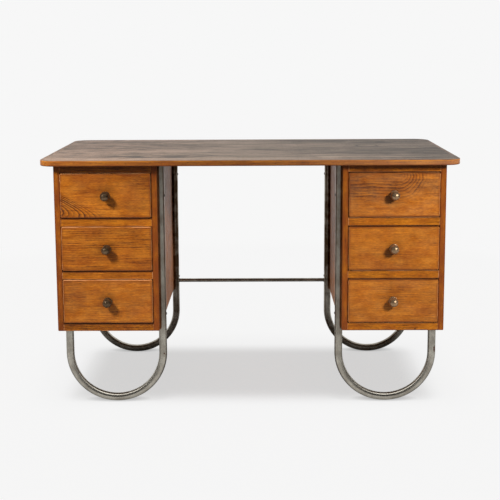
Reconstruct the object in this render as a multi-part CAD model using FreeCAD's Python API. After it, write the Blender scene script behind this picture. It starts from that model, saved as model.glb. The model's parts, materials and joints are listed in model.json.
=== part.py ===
import FreeCAD, Part
import os
import math

# Pedestal desk: an oak top on two pedestals of three drawers, carried by four bent tube loops.
# Frame: +X to the sitter's right, +Y to the rear, +Z up. The origin is on the floor, under the
# middle of the desk's overall box, whose front is the face of the knobs. Millimetres.

Vec = FreeCAD.Vector
X_AXIS = Vec(1, 0, 0)
Y_AXIS = Vec(0, 1, 0)
Z_AXIS = Vec(0, 0, 1)

# Top
desk_width = 1300.0
desk_depth = 700.0
desk_height = 780.0
top_thickness = 18.0
top_corner_radius = 50.0
top_arris = 2.5
lipping_width = 12.0
front_overhang = 30.0
side_overhang = 42.5
rear_overhang = 70.0

# Pedestal carcasses
pedestal_width = 320.5
ground_clearance = 236.0
side_thickness = 18.0
side_arris = 1.2
side_foot_rounding = 3.0
carcass_floor_thickness = 16.0
back_thickness = 8.0
back_inset = 3.0
rail_depth = 60.0
bottom_rail_depth = 16.0
top_rail_height = 23.5
middle_rail_height = 26.0
bottom_rail_height = 24.5
rail_arris = 0.8
runner_width = 20.0
runner_height = 18.0
stop_width = 11.0
stop_height = 22.0

# Tube loops and the bar between the rear ones
tube_diameter = 25.0
tube_wall = 1.5
leg_groove_depth = 4.5
leg_groove_clearance = 0.2
outer_leg_inset = 32.5
front_loop_setback = 25.0
rear_loop_setback = 34.0
plug_length = 12.0
bar_diameter = 13.0
bar_axis_height = 270.0
bar_weld_height = 2.5
bar_weld_length = 4.0

# Drawers
drawer_count = 3
front_thickness = 20.0
front_proud = 4.0
front_gap = 1.5
front_arris = 3.0
front_corner_radius = 5.0
drawer_headroom = 13.7
drawer_running_gap = 0.3
drawer_stop_gap = 0.3
drawer_rear_space = 20.0
drawer_side_thickness = 11.0
drawer_back_thickness = 10.0
drawer_back_step = 4.0
drawer_bottom_thickness = 5.0
drawer_bottom_rise = 10.0
drawer_groove_depth = 5.0
tail_count = 4
tail_length = 12.0
tail_shoulder_share = 0.56
tail_end_share = 0.74

# Knobs and their screws
knob_projection = 33.0
knob_head_diameter = 29.0
knob_head_depth = 21.0
knob_head_crown_share = 0.62
knob_neck_diameter = 12.0
knob_flange_diameter = 28.0
knob_flange_thickness = 3.0
knob_flange_rounding = 1.2
knob_screw_diameter = 4.0
knob_screw_hole_diameter = 4.6
knob_screw_engagement = 14.0
knob_screw_head_diameter = 9.0
knob_screw_head_height = 2.4

# Screws that hold the carcasses, the loops and the top together
leg_screw_diameter = 4.5
leg_screw_head_diameter = 9.0
leg_screw_head_height = 2.2
leg_screw_bite = 10.0
leg_screw_top_drop = 98.0
leg_screw_bottom_rise = 50.0
floor_screw_diameter = 6.0
floor_screw_head_diameter = 11.0
floor_screw_head_height = 3.0
top_screw_diameter = 4.5
top_screw_head_diameter = 9.0
top_screw_head_height = 2.6
top_screw_bite = 11.0
top_screw_edge = 60.0

# Cuts run past the material by this much, and an edge counts as lying at a level within the tolerance
overrun = 5.0
flat_tolerance = 0.00001

# Levels
top_underside = desk_height - top_thickness
pedestal_height = top_underside - ground_clearance
rails_height = top_rail_height + bottom_rail_height + (drawer_count - 1) * middle_rail_height
opening_height = (pedestal_height - rails_height) / drawer_count
opening_pitch = opening_height + middle_rail_height
first_opening = ground_clearance + bottom_rail_height
carcass_floor_top = ground_clearance + carcass_floor_thickness

# Depths: the knobs may reach past the front edge of the top, and the origin is amid the whole
knob_reach = max(front_proud + knob_projection - front_overhang, 0.0)
front_edge_y = knob_reach - (desk_depth + knob_reach) / 2
rear_edge_y = front_edge_y + desk_depth
pedestal_front_y = front_edge_y + front_overhang
pedestal_rear_y = rear_edge_y - rear_overhang
back_rear_y = pedestal_rear_y - back_inset
back_front_y = back_rear_y - back_thickness
front_loop_y = pedestal_front_y + front_loop_setback
rear_loop_y = pedestal_rear_y - rear_loop_setback
front_face_y = pedestal_front_y - front_proud
front_back_y = front_face_y + front_thickness
drawer_rear_y = back_front_y - drawer_rear_space

# Widths, given for the right pedestal; the left one is its mirror image
pedestal_outer_x = desk_width / 2 - side_overhang
pedestal_inner_x = pedestal_outer_x - pedestal_width
bay_inner_x = pedestal_inner_x + side_thickness
bay_outer_x = pedestal_outer_x - side_thickness
bay_centre_x = (bay_inner_x + bay_outer_x) / 2
tube_radius = tube_diameter / 2
tube_bore_radius = tube_radius - tube_wall
inner_leg_x = pedestal_inner_x + leg_groove_depth - tube_radius
outer_leg_x = pedestal_outer_x - outer_leg_inset
bend_radius = (outer_leg_x - inner_leg_x) / 2
bend_centre_x = (outer_leg_x + inner_leg_x) / 2
bend_centre_z = bend_radius + tube_radius
loop_depths = (front_loop_y, rear_loop_y)
leg_screw_heights = (top_underside - leg_screw_top_drop, ground_clearance + leg_screw_bottom_rise)


def block(x_pair, y_pair, z_pair):
    """A box between two corners."""
    size = (x_pair[1] - x_pair[0], y_pair[1] - y_pair[0], z_pair[1] - z_pair[0])
    return Part.makeBox(size[0], size[1], size[2], Vec(x_pair[0], y_pair[0], z_pair[0]))


def rod(radius, start, end):
    """A cylinder from one point to another."""
    return Part.makeCylinder(radius, (end - start).Length, start, end - start)


def mirrored(shape):
    """The same piece on the left side of the desk."""
    return shape.mirror(Vec(0, 0, 0), X_AXIS)


def both_sides(pieces):
    """A group of solids and its mirror image."""
    return pieces + [mirrored(piece) for piece in pieces]


def softened(shape, radius, picks):
    """The shape with the picked edges rounded over."""
    return shape.makeFillet(radius, [edge for edge in shape.Edges if picks(edge.BoundBox)])


def lies_at(low, high, level):
    """Whether a span is flat and lies at a level."""
    return max(abs(low - level), abs(high - level)) < flat_tolerance


def rounded_slab(inset, z_low, z_high):
    """A plate with the outline of the top, drawn in by an inset."""
    corners = block(
        (-desk_width / 2 + inset, desk_width / 2 - inset),
        (front_edge_y + inset, rear_edge_y - inset),
        (z_low, z_high),
    )
    uprights = [edge for edge in corners.Edges if edge.BoundBox.ZLength > (z_high - z_low) / 2]
    return corners.makeFillet(top_corner_radius - inset, uprights)


def make_top():
    """The panel and the two bent strips that lip its edge, joined halfway along the ends."""
    slab = rounded_slab(0, top_underside, desk_height)
    slab = softened(
        slab,
        top_arris,
        lambda b: lies_at(b.ZMin, b.ZMax, desk_height) or lies_at(b.ZMin, b.ZMax, top_underside),
    )
    core = rounded_slab(lipping_width, top_underside - overrun, desk_height + overrun)
    panel = slab.common(core)
    ring = slab.cut(core)
    middle_y = (front_edge_y + rear_edge_y) / 2
    x_pair = (-desk_width / 2 - overrun, desk_width / 2 + overrun)
    z_pair = (top_underside - overrun, desk_height + overrun)
    front_half = block(x_pair, (front_edge_y - overrun, middle_y), z_pair)
    rear_half = block(x_pair, (middle_y, rear_edge_y + overrun), z_pair)
    return panel, [ring.common(front_half), ring.common(rear_half)]


def countersunk(diameter, head_size, face, tip):
    """A countersunk screw from the face of its head to its tip; the head is (diameter, height)."""
    cone = Part.makeCone(head_size[0] / 2, diameter / 2, head_size[1], face, tip - face)
    return cone.fuse(rod(diameter / 2, face, tip)).removeSplitter()


def domed_screw(diameter, head_size, seat, tip):
    """A round-head screw whose head, (diameter, height), stands on a seat as a spherical cap."""
    along = (tip - seat).normalize()
    cap_radius = ((head_size[0] / 2) ** 2 + head_size[1] ** 2) / (2 * head_size[1])
    ball = Part.makeSphere(cap_radius, seat - along * (head_size[1] - cap_radius))
    keep = rod(head_size[0], seat - along * (head_size[1] + overrun), seat)
    return ball.common(keep).fuse(rod(diameter / 2, seat, tip)).removeSplitter()


def leg_screw_lines():
    """The seat and the tip of each screw from the kneehole through an inner leg into the side panel."""
    seat_x = inner_leg_x - tube_radius
    tip_x = inner_leg_x + tube_radius + leg_screw_bite
    return [(Vec(seat_x, y, z), Vec(tip_x, y, z)) for y in loop_depths for z in leg_screw_heights]


def make_leg_screws():
    """Round-head screws that hold the inner legs to the side panels."""
    head = (leg_screw_head_diameter, leg_screw_head_height)
    return [domed_screw(leg_screw_diameter, head, seat, tip) for seat, tip in leg_screw_lines()]


def leg_screw_holes():
    """The holes for the leg screws in the tubes and the side panels."""
    return [rod(leg_screw_diameter / 2, seat, tip) for seat, tip in leg_screw_lines()]


def make_floor_screws():
    """Countersunk screws from the carcass floor down into the plug of each outer leg."""
    head = (floor_screw_head_diameter, floor_screw_head_height)
    faces = [Vec(outer_leg_x, y, carcass_floor_top) for y in loop_depths]
    length = carcass_floor_top - ground_clearance + plug_length
    return [countersunk(floor_screw_diameter, head, face, face - Z_AXIS * length) for face in faces]


def make_top_screws():
    """Countersunk screws up through the top rail and the rear stretcher into the top."""
    head = (top_screw_head_diameter, top_screw_head_height)
    length = top_rail_height + top_screw_bite
    faces = [
        Vec(x, y, top_underside - top_rail_height)
        for x in (bay_inner_x + top_screw_edge, bay_outer_x - top_screw_edge)
        for y in (pedestal_front_y + rail_depth / 2, back_front_y - rail_depth / 2)
    ]
    return [countersunk(top_screw_diameter, head, face, face + Z_AXIS * length) for face in faces]


def make_carcass(floor_screws, top_screws):
    """The fixed wooden pieces of the right pedestal, by name."""
    z_full = (ground_clearance, top_underside)
    y_full = (pedestal_front_y, pedestal_rear_y)
    x_bay = (bay_inner_x, bay_outer_x)
    pieces = {}

    inner = block((pedestal_inner_x, bay_inner_x), y_full, z_full)
    outer = block((bay_outer_x, pedestal_outer_x), y_full, z_full)
    groove_radius = tube_radius + leg_groove_clearance
    groove_length = pedestal_height + 2 * overrun
    groove_feet = [Vec(inner_leg_x, y, ground_clearance - overrun) for y in loop_depths]
    grooves = [rod(groove_radius, foot, foot + Z_AXIS * groove_length) for foot in groove_feet]

    def front_upright(b):
        """Whether an edge runs up the front of a side panel."""
        return lies_at(b.YMin, b.YMax, pedestal_front_y) and b.ZLength > pedestal_height / 2

    def foot(b, x_face):
        """Whether an edge runs along the bottom of a side panel's outside face."""
        return lies_at(b.ZMin, b.ZMax, ground_clearance) and lies_at(b.XMin, b.XMax, x_face)

    inner = softened(inner, side_foot_rounding, lambda b: foot(b, pedestal_inner_x))
    outer = softened(outer, side_foot_rounding, lambda b: foot(b, pedestal_outer_x))
    inner = softened(inner, side_arris, front_upright)
    outer = softened(outer, side_arris, front_upright)
    for tool in grooves + leg_screw_holes():
        inner = inner.cut(tool)
    pieces["inner_side"] = [inner]
    pieces["outer_side"] = [outer]

    def front_level(b):
        """Whether an edge runs along the front of a rail."""
        return lies_at(b.YMin, b.YMax, pedestal_front_y) and b.XLength > pedestal_width / 2

    def rail(z_low, height, depth):
        """A rail between the sides, its front edges eased."""
        bar = block(x_bay, (pedestal_front_y, pedestal_front_y + depth), (z_low, z_low + height))
        return softened(bar, rail_arris, front_level)

    z_top_rail = (top_underside - top_rail_height, top_underside)
    top_rail = rail(z_top_rail[0], top_rail_height, rail_depth)
    stretcher = block(x_bay, (back_front_y - rail_depth, back_front_y), z_top_rail)
    for screw in top_screws:
        top_rail = top_rail.cut(screw)
        stretcher = stretcher.cut(screw)
    pieces["top_rail"] = [top_rail]
    pieces["rear_stretcher"] = [stretcher]
    pieces["middle_rails"] = [
        rail(first_opening + level * opening_pitch - middle_rail_height, middle_rail_height, rail_depth)
        for level in range(1, drawer_count)
    ]
    pieces["bottom_rail"] = [rail(ground_clearance, bottom_rail_height, bottom_rail_depth)]

    y_floor = (pedestal_front_y + bottom_rail_depth, back_front_y)
    floor = block(x_bay, y_floor, (ground_clearance, carcass_floor_top))
    for screw in floor_screws:
        floor = floor.cut(screw)
    pieces["floor"] = [floor]
    pieces["back"] = [block(x_bay, (back_front_y, back_rear_y), z_full)]

    strips = []
    y_runner = (pedestal_front_y + rail_depth, back_front_y)
    y_kicker = (pedestal_front_y + rail_depth, back_front_y - rail_depth)
    for x_pair in ((bay_inner_x, bay_inner_x + runner_width), (bay_outer_x - runner_width, bay_outer_x)):
        strips.append(block(x_pair, y_floor, (carcass_floor_top, first_opening)))
        for level in range(1, drawer_count):
            z_top = first_opening + level * opening_pitch
            strips.append(block(x_pair, y_runner, (z_top - runner_height, z_top)))
        strips.append(block(x_pair, y_kicker, z_top_rail))
    pieces["runners"] = strips
    return pieces


def make_stops():
    """Blocks on the rear ends of the runners that the drawer sides come up against."""
    stops = []
    for level in range(drawer_count):
        z_low = first_opening + level * opening_pitch
        for x_low in (bay_inner_x, bay_outer_x - stop_width):
            y_pair = (drawer_rear_y + drawer_stop_gap, back_front_y)
            stops.append(block((x_low, x_low + stop_width), y_pair, (z_low, z_low + stop_height)))
    return stops


def tube_length(radius, y):
    """A loop's solid rod of one radius: leg, half-round bend and short outer leg."""
    bend = Part.makeTorus(bend_radius, radius, Vec(bend_centre_x, y, bend_centre_z), Y_AXIS)
    side = bend_radius + tube_diameter
    lower_half = block(
        (bend_centre_x - side, bend_centre_x + side),
        (y - tube_diameter, y + tube_diameter),
        (bend_centre_z - side, bend_centre_z),
    )
    inner_leg = rod(radius, Vec(inner_leg_x, y, bend_centre_z), Vec(inner_leg_x, y, top_underside))
    outer_leg = rod(radius, Vec(outer_leg_x, y, bend_centre_z), Vec(outer_leg_x, y, ground_clearance))
    return bend.common(lower_half).fuse([inner_leg, outer_leg]).removeSplitter()


def make_loop(y):
    """One bent tube, drilled for its screws."""
    tube = tube_length(tube_radius, y).cut(tube_length(tube_bore_radius, y))
    for tool in leg_screw_holes():
        tube = tube.cut(tool)
    return tube


def make_plugs(floor_screws):
    """Turned plugs in the upper ends of the tubes."""
    plugs = []
    for y in loop_depths:
        for x, z in ((inner_leg_x, top_underside), (outer_leg_x, ground_clearance)):
            plug = rod(tube_bore_radius, Vec(x, y, z - plug_length), Vec(x, y, z))
            for screw in floor_screws:
                plug = plug.cut(screw)
            plugs.append(plug)
    return plugs


def make_bar():
    """The bar welded between the two rear inner legs, with a flared weld at each end."""
    middle = Vec(0, rear_loop_y, bar_axis_height)
    bar = rod(bar_diameter / 2, middle - X_AXIS * inner_leg_x, middle + X_AXIS * inner_leg_x)
    for side in (-1, 1):
        root = middle + X_AXIS * (side * (inner_leg_x - tube_radius))
        flare_radius = bar_diameter / 2 + bar_weld_height
        bar = bar.fuse(Part.makeCone(flare_radius, bar_diameter / 2, bar_weld_length, root, X_AXIS * -side))
        bar = bar.fuse(rod(flare_radius, root, root + X_AXIS * (side * bar_weld_height)))
    for side in (-1, 1):
        leg = middle + X_AXIS * (side * inner_leg_x)
        bar = bar.cut(rod(tube_radius, leg - Z_AXIS * tube_diameter, leg + Z_AXIS * tube_diameter))
    solids = sorted(bar.Solids, key=lambda s: s.Volume)
    return solids[-1].removeSplitter()


def make_knob(face, axis_x, axis_z):
    """A turned knob with a flange, a waisted neck and a domed head, and the screw that holds it."""
    neck_radius = knob_neck_diameter / 2
    flange_radius = knob_flange_diameter / 2
    head_radius = knob_head_diameter / 2
    head_start = knob_projection - knob_head_depth
    widest = head_start + knob_head_depth * (1 - knob_head_crown_share)
    crown = knob_projection - widest
    crown_radius = (head_radius ** 2 + crown ** 2) / (2 * crown)
    crown_angle = math.acos((crown_radius - crown) / crown_radius)
    diagonal_share = math.sqrt(0.5)

    def at(radius, out):
        """A point of the profile: distance from the axis and from the drawer front."""
        return Vec(axis_x + radius, face - out, axis_z)

    def quarter_round(start, corner, end):
        """A quarter round that bulges towards the corner between its ends."""
        middle = [
            (s + e - c) * (1 - diagonal_share) + c * diagonal_share
            for s, c, e in zip(start, corner, end)
        ]
        return Part.Arc(at(*start), at(*middle), at(*end))

    flange_shoulder = (flange_radius, knob_flange_thickness - knob_flange_rounding)
    flange_top = (flange_radius - knob_flange_rounding, knob_flange_thickness)
    waist = (neck_radius, (knob_flange_thickness + head_start) / 2)
    collar = (neck_radius, head_start)
    crown_middle = (
        crown_radius * math.sin(crown_angle / 2),
        knob_projection - crown_radius * (1 - math.cos(crown_angle / 2)),
    )
    path = [
        Part.LineSegment(at(0, 0), at(flange_radius, 0)),
        Part.LineSegment(at(flange_radius, 0), at(*flange_shoulder)),
        quarter_round(flange_shoulder, (flange_radius, knob_flange_thickness), flange_top),
        Part.LineSegment(at(*flange_top), at(*waist)),
        Part.LineSegment(at(*waist), at(*collar)),
        quarter_round(collar, (head_radius, head_start), (head_radius, widest)),
        Part.Arc(at(head_radius, widest), at(*crown_middle), at(0, knob_projection)),
        Part.LineSegment(at(0, knob_projection), at(0, 0)),
    ]
    profile = Part.Face(Part.Wire([curve.toShape() for curve in path]))
    knob = profile.revolve(Vec(axis_x, face, axis_z), Y_AXIS, 360)
    screw_seat = Vec(axis_x, front_back_y, axis_z)
    screw_tip = Vec(axis_x, face - knob_screw_engagement, axis_z)
    screw_head = (knob_screw_head_diameter, knob_screw_head_height)
    knob = knob.cut(rod(knob_screw_diameter / 2, Vec(axis_x, face, axis_z), screw_tip))
    return [knob, domed_screw(knob_screw_diameter, screw_head, screw_seat, screw_tip)]


def dovetail(z_centre, pitch, x_pair):
    """One tail of a drawer side: a wedge that widens towards the drawer's face."""
    shoulder = pitch * tail_shoulder_share / 2
    end = pitch * tail_end_share / 2
    end_y = front_back_y - tail_length
    outline = Part.makePolygon([
        Vec(x_pair[0], front_back_y, z_centre - shoulder),
        Vec(x_pair[0], end_y, z_centre - end),
        Vec(x_pair[0], end_y, z_centre + end),
        Vec(x_pair[0], front_back_y, z_centre + shoulder),
        Vec(x_pair[0], front_back_y, z_centre - shoulder),
    ])
    return Part.Face(outline).extrude(X_AXIS * (x_pair[1] - x_pair[0]))


def make_drawer(level):
    """The pieces of one drawer of the right pedestal, by name."""
    z_opening = first_opening + level * opening_pitch
    x_pair = (bay_inner_x + front_gap, bay_outer_x - front_gap)
    inside = (x_pair[0] + drawer_side_thickness, x_pair[1] - drawer_side_thickness)
    side_low = z_opening + drawer_running_gap
    side_high = z_opening + opening_height - drawer_headroom
    bottom_low = side_low + drawer_bottom_rise
    bottom_high = bottom_low + drawer_bottom_thickness
    front_z = (z_opening + front_gap, z_opening + opening_height - front_gap)
    knob_z = (front_z[0] + front_z[1]) / 2

    wide_bottom = (inside[0] - drawer_groove_depth, inside[1] + drawer_groove_depth)
    bottom = block(wide_bottom, (front_back_y, drawer_rear_y), (bottom_low, bottom_high))
    tongue = block(inside, (front_back_y - drawer_groove_depth, front_back_y), (bottom_low, bottom_high))

    front = block(x_pair, (front_face_y, front_back_y), front_z)
    front = softened(front, front_corner_radius, lambda b: b.YLength > front_thickness / 2)
    front = softened(front, front_arris, lambda b: lies_at(b.YMin, b.YMax, front_face_y))
    front = front.cut(tongue)
    sides = []
    pitch = (side_high - side_low) / tail_count
    for x_side in ((x_pair[0], inside[0]), (inside[1], x_pair[1])):
        side = block(x_side, (front_back_y, drawer_rear_y), (side_low, side_high))
        tails = [dovetail(side_low + (n + 0.5) * pitch, pitch, x_side) for n in range(tail_count)]
        front = front.cut(tails)
        sides.append(side.fuse(tails).cut(bottom).removeSplitter())
    hole_start = Vec(bay_centre_x, front_face_y - overrun, knob_z)
    hole_end = Vec(bay_centre_x, front_back_y + overrun, knob_z)
    back_y = (drawer_rear_y - drawer_back_thickness, drawer_rear_y)
    back = block(inside, back_y, (bottom_high, side_high - drawer_back_step))
    return {
        "front": [front.cut(rod(knob_screw_hole_diameter / 2, hole_start, hole_end))],
        "sides": sides,
        "back": [back],
        "bottom": [bottom.fuse(tongue).removeSplitter()],
        "knob": make_knob(front_face_y, bay_centre_x, knob_z),
    }


def drawer_levels():
    """The drawers' names from the floor up: lower, middle and upper where there are three."""
    if drawer_count == 3:
        return ["lower", "middle", "upper"]
    return ["row_%d" % (level + 1) for level in range(drawer_count)]


def collect():
    """Every node's solids, by name."""
    floor_screws = make_floor_screws()
    top_screws = make_top_screws()
    panel, lippings = make_top()
    for screw in both_sides(top_screws):
        panel = panel.cut(screw)
    nodes = {"top_panel": [panel], "top_lipping": lippings}
    for piece, solids in make_carcass(floor_screws, top_screws).items():
        nodes["right_" + piece] = solids
        nodes["left_" + piece] = [mirrored(solid) for solid in solids]
    for place, y in (("front", front_loop_y), ("rear", rear_loop_y)):
        loop = make_loop(y)
        nodes[place + "_right_loop"] = [loop]
        nodes[place + "_left_loop"] = [mirrored(loop)]
    nodes["rear_bar"] = [make_bar()]
    nodes["leg_plugs"] = both_sides(make_plugs(floor_screws))
    nodes["leg_screws"] = both_sides(make_leg_screws())
    nodes["floor_screws"] = both_sides(floor_screws)
    nodes["top_screws"] = both_sides(top_screws)
    nodes["drawer_stops"] = both_sides(make_stops())
    for level, word in enumerate(drawer_levels()):
        for piece, solids in make_drawer(level).items():
            nodes["right_%s_drawer_%s" % (word, piece)] = solids
            nodes["left_%s_drawer_%s" % (word, piece)] = [mirrored(solid) for solid in solids]
    return nodes


def write(nodes):
    """One STEP file per node, and a line on each."""
    os.makedirs("parts", exist_ok=True)
    for name in sorted(nodes):
        solids = [solid for shape in nodes[name] for solid in shape.Solids]
        shape = solids[0] if len(solids) == 1 else Part.makeCompound(solids)
        print("%-30s solids %2d valid %s volume %.0f" % (name, len(solids), shape.isValid(), shape.Volume))
        shape.exportStep("parts/%s.step" % name)
    print("nodes", len(nodes), "bend radius", bend_radius, "opening height", opening_height)
    print("inner leg x", inner_leg_x, "loops at y", loop_depths, "drawer front face y", front_face_y)


write(collect())
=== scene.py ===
import json
import math

import bpy
import bmesh
import numpy as np
from mathutils import Matrix, Vector

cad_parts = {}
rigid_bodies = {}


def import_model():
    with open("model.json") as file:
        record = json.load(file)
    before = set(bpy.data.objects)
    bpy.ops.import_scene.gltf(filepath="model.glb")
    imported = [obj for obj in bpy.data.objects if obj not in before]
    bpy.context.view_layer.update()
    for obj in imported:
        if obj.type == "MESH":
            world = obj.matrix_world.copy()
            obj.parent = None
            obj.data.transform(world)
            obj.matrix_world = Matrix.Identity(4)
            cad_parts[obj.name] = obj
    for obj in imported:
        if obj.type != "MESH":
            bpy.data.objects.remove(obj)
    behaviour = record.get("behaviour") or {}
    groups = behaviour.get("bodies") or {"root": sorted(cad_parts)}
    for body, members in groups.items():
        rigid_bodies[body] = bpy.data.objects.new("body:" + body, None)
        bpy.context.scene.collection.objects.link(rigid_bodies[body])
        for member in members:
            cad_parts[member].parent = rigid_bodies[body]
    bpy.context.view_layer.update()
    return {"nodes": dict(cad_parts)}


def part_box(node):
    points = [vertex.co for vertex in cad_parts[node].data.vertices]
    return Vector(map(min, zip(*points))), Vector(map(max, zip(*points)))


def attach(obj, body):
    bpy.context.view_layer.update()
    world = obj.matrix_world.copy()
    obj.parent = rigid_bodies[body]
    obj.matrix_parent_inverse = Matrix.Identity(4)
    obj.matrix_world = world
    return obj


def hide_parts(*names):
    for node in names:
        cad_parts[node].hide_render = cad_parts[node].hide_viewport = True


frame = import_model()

bl_info = {
    "name": "Pedestal desk on tube loops",
    "version": (1, 0, 0),
    "blender": (4, 5, 0),
    "location": "3D View > Sidebar > Desk",
    "description": "Finishes an oak pedestal desk: boards, bent tubes, turned knobs, screws and the studio",
    "category": "Object",
}

SIDES = ("left", "right")
LEVELS = ("lower", "middle", "upper")
ENDS = ("front", "rear")
MM = 0.001
X, Y, Z = 0, 1, 2
GRAIN_DEPTH = 0.12 * MM
WHITE = (1.0, 1.0, 1.0, 1.0)


# Colours and places

def linear(red, green, blue):
    """A display colour of 0 to 255 a channel as the linear colour that shaders take."""
    display = np.array([red, green, blue], float) / 255
    low = display / 12.92
    high = ((display + 0.055) / 1.055) ** 2.4
    return tuple(np.where(display <= 0.04045, low, high).tolist())


def opaque(colour, gain=1.0):
    """A linear colour times a gain, with full alpha."""
    return (*(channel * gain for channel in colour), 1.0)


def node_box(name):
    """Lowest corner, highest corner and centre of a CAD node, as arrays in metres."""
    low, high = (np.array(corner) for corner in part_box(name))
    return low, high, (low + high) / 2


def side_sign(side):
    """-1 on the left and +1 on the right."""
    return -1 if side == "left" else 1


# Properties

def length(name, millimetres, description):
    """A length that a user may change."""
    return bpy.props.FloatProperty(
        name=name, description=description, default=millimetres * MM, min=0, subtype="DISTANCE",
        unit="LENGTH")


def share(name, default, description):
    """A number without a unit."""
    return bpy.props.FloatProperty(name=name, description=description, default=default, subtype="FACTOR")


def count(name, default, description):
    """A whole number."""
    return bpy.props.IntProperty(name=name, description=description, default=default, min=1)


def colour(name, display, description):
    """A colour, given as it shows on a display."""
    return bpy.props.FloatVectorProperty(
        name=name, description=description, default=linear(*display), subtype="COLOR", min=0, max=1)


def angle(name, degrees, description):
    """An angle that a user may change."""
    return bpy.props.FloatProperty(
        name=name, description=description, default=math.radians(degrees), subtype="ANGLE", unit="ROTATION")


class DeskTubeSettings(bpy.types.PropertyGroup):
    """The bent tubes and the bar between them."""

    wall: length("Wall", 1.5, "Wall thickness of the tube")
    step: length("Step", 4.0, "Spacing of the rings along a tube")
    sides: count("Sides", 48, "Points round a tube")
    waver: length("Waver", 0.03, "Unevenness of the tube's skin")
    dent_depth: length("Dent depth", 0.7, "How far each screw has pulled the tube in")
    dent_length: length("Dent length", 8.0, "Half length of the dent at a screw")
    weld_height: length("Weld height", 2.4, "Height of the weld round the bar's ends")
    weld_length: length("Weld length", 3.6, "Length of the weld along the bar")
    weld_ripples: count("Weld ripples", 13, "Ripples round a weld")


class DeskKnobSettings(bpy.types.PropertyGroup):
    """The turned knobs."""

    projection: length("Projection", 33.0, "From the drawer front to the crown")
    head_depth: length("Head depth", 21.0, "From the collar to the crown")
    crown_share: share("Crown share", 0.62, "Share of the head in front of its widest ring")
    neck_radius: length("Neck radius", 6.0, "Radius of the waist")
    flange_radius: length("Flange radius", 14.0, "Radius of the flange on the drawer")
    flange_depth: length("Flange depth", 3.0, "Thickness of the flange")
    bead_height: length("Bead height", 1.1, "How far the bead stands out from the neck")
    segments: count("Segments", 72, "Points round a knob")


class DeskScrewSettings(bpy.types.PropertyGroup):
    """The slotted round-head screws."""

    head_radius: length("Head radius", 4.5, "Radius of a screw's head")
    head_height: length("Head height", 2.2, "Height of a screw's head")
    shank_radius: length("Shank radius", 2.1, "Radius of a screw's shank")
    slot_width: length("Slot width", 1.1, "Width of the driver's slot")
    slot_depth: length("Slot depth", 1.2, "Depth of the driver's slot")


class DeskFinishSettings(bpy.types.PropertyGroup):
    """The colours of the wood, the metals and the wear."""

    oak_light: colour("Light oak", (196, 119, 28), "Late wood of the lacquered oak")
    oak_mean: colour("Oak", (168, 90, 15), "The oak's general tone")
    oak_dark: colour("Dark oak", (78, 34, 8), "Early wood, with pores full of stain")
    # Red oak also tints, at a quarter of its strength, the painted shade in the gaps along the boards' edges
    oak_red: colour("Red oak", (138, 66, 26), "Edges where the lacquer has reddened")
    # Light top, made brighter, also paints the lipping paler towards its right end
    # Light top, made brighter, also paints the sheen on the oak boards
    top_light: colour("Light top", (156, 126, 104), "Worn veneer of the top")
    top_grey: colour("Grey top", (149, 128, 109), "Greyed veneer of the top")
    top_dark: colour("Dark top", (70, 62, 54), "Stained veneer of the top")
    beech_light: colour("Beech", (205, 168, 122), "Unfinished beech inside the carcass")
    beech_dark: colour("Dark beech", (164, 122, 80), "Flecks and pores of the beech")
    ply_light: colour("Plywood", (190, 148, 104), "Face veneer of the plywood")
    nickel: colour("Nickel", (200, 195, 182), "Plating of the tubes")
    rust: colour("Rust", (92, 52, 34), "Rust where the plating has gone")
    brass: colour("Brass", (138, 112, 84), "Aged brass of the knobs")
    steel: colour("Steel", (150, 146, 140), "Screws")


class DeskStageSettings(bpy.types.PropertyGroup):
    """The camera, the lamps and the floor."""

    camera_place: bpy.props.FloatVectorProperty(
        name="Camera", description="Where the camera stands", default=(0.02745, -3.50585, 1.13013),
        subtype="TRANSLATION", unit="LENGTH")
    camera_tilt: angle("Tilt", 8.3116, "How far the camera looks down")
    camera_roll: angle("Roll", -0.2778, "How far the camera leans")
    camera_yaw: angle("Yaw", -0.4847, "How far the camera turns to the right")
    focal_share: share("Focal share", 2.08275, "Focal length as a share of the picture's width")
    shift_share: share("Shift", -0.10737, "Vertical shift of the picture, as a share of its width")
    backdrop: colour("Backdrop", (247, 247, 247), "Colour behind the desk")
    dome: share("Dome", 0.18, "Strength of the even light all round")
    overhead: share("Overhead", 1.2, "Strength of the soft light from above")
    left_key: share("Left lamp", 285.0, "Power of the lamp at the front left, in watts")
    right_key: share("Right lamp", 246.0, "Power of the lamp at the front right, in watts")
    back_light: share("Back light", 60.0, "Power of the wide lamp behind the desk, in watts")
    floor_radius: length("Floor radius", 9000.0, "Radius of the floor")
    fade_start: length("Fade start", 1300.0, "Where the floor starts to turn into the backdrop")
    fade_end: length("Fade end", 2600.0, "Where the floor has turned into the backdrop")


# Meshes from arrays

def new_object(name, data):
    """An object in the scene, from a mesh, a lamp or a camera."""
    made = bpy.data.objects.new(name, data)
    bpy.context.scene.collection.objects.link(made)
    return made


def mesh_object(name, points, faces, corners=None, smooth_angle=math.radians(35)):
    """An object from points, quads and the quads' corner coordinates (u, v). Doubled points are
    merged, so poles and seams close, and the normals are turned outwards."""
    mesh = bpy.data.meshes.new(name)
    mesh.from_pydata(points.tolist(), [], faces.tolist())
    if corners is not None:
        mesh.uv_layers.new(name="skin").data.foreach_set("uv", corners.astype(np.float32).ravel())
    work = bmesh.new()
    work.from_mesh(mesh)
    bmesh.ops.remove_doubles(work, verts=work.verts, dist=1e-7)
    bmesh.ops.recalc_face_normals(work, faces=work.faces)
    work.to_mesh(mesh)
    work.free()
    mesh.shade_smooth()
    mesh.set_sharp_from_angle(angle=smooth_angle)
    return new_object(name, mesh)


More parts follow.
